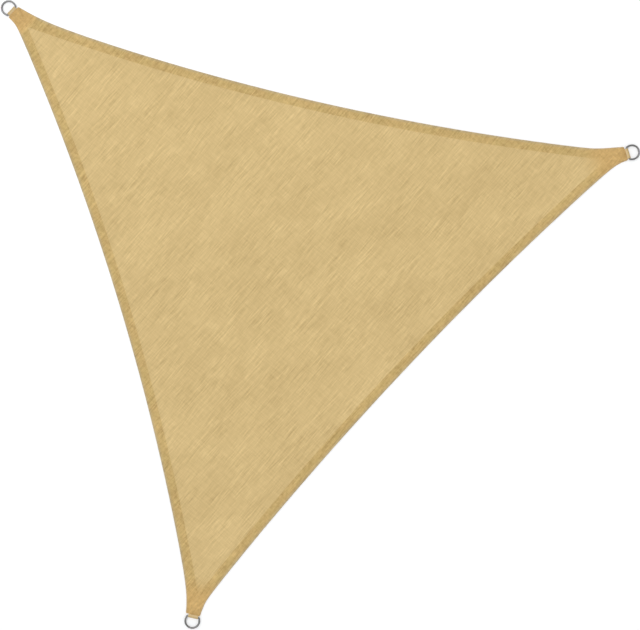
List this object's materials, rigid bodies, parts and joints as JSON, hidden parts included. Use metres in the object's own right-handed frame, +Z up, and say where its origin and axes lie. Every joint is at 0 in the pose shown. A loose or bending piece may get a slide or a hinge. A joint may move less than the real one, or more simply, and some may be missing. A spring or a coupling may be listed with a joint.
{
  "type": "triangular shade sail",
  "caption": "Triangular sun shade sail of knitted cloth with hollow-cut hemmed sides, lying flat, with a webbing loop and a steel D-ring at each tip.",
  "frame": {"origin": "on the ground under the middle of the part's box: midway between the two base rings' line and the apex ring, with the sail lying flat", "axes": "+X along the base side from the left ring to the right ring, +Y towards the apex ring, +Z up off the cloth"},
  "size_m": [2.4992, 2.1723, 0.0103],
  "materials": {
    "cloth": "knitted outdoor mesh, matte",
    "webbing": "woven strap, matte",
    "ring": "stainless wire"
  },
  "bodies": {
    "root": {"sail_cloth": "cloth", "webbing_loop_apex": "webbing", "webbing_loop_left": "webbing", "webbing_loop_right": "webbing", "d_ring_apex": "ring", "d_ring_left": "ring", "d_ring_right": "ring"}
  },
  "joints": []
}
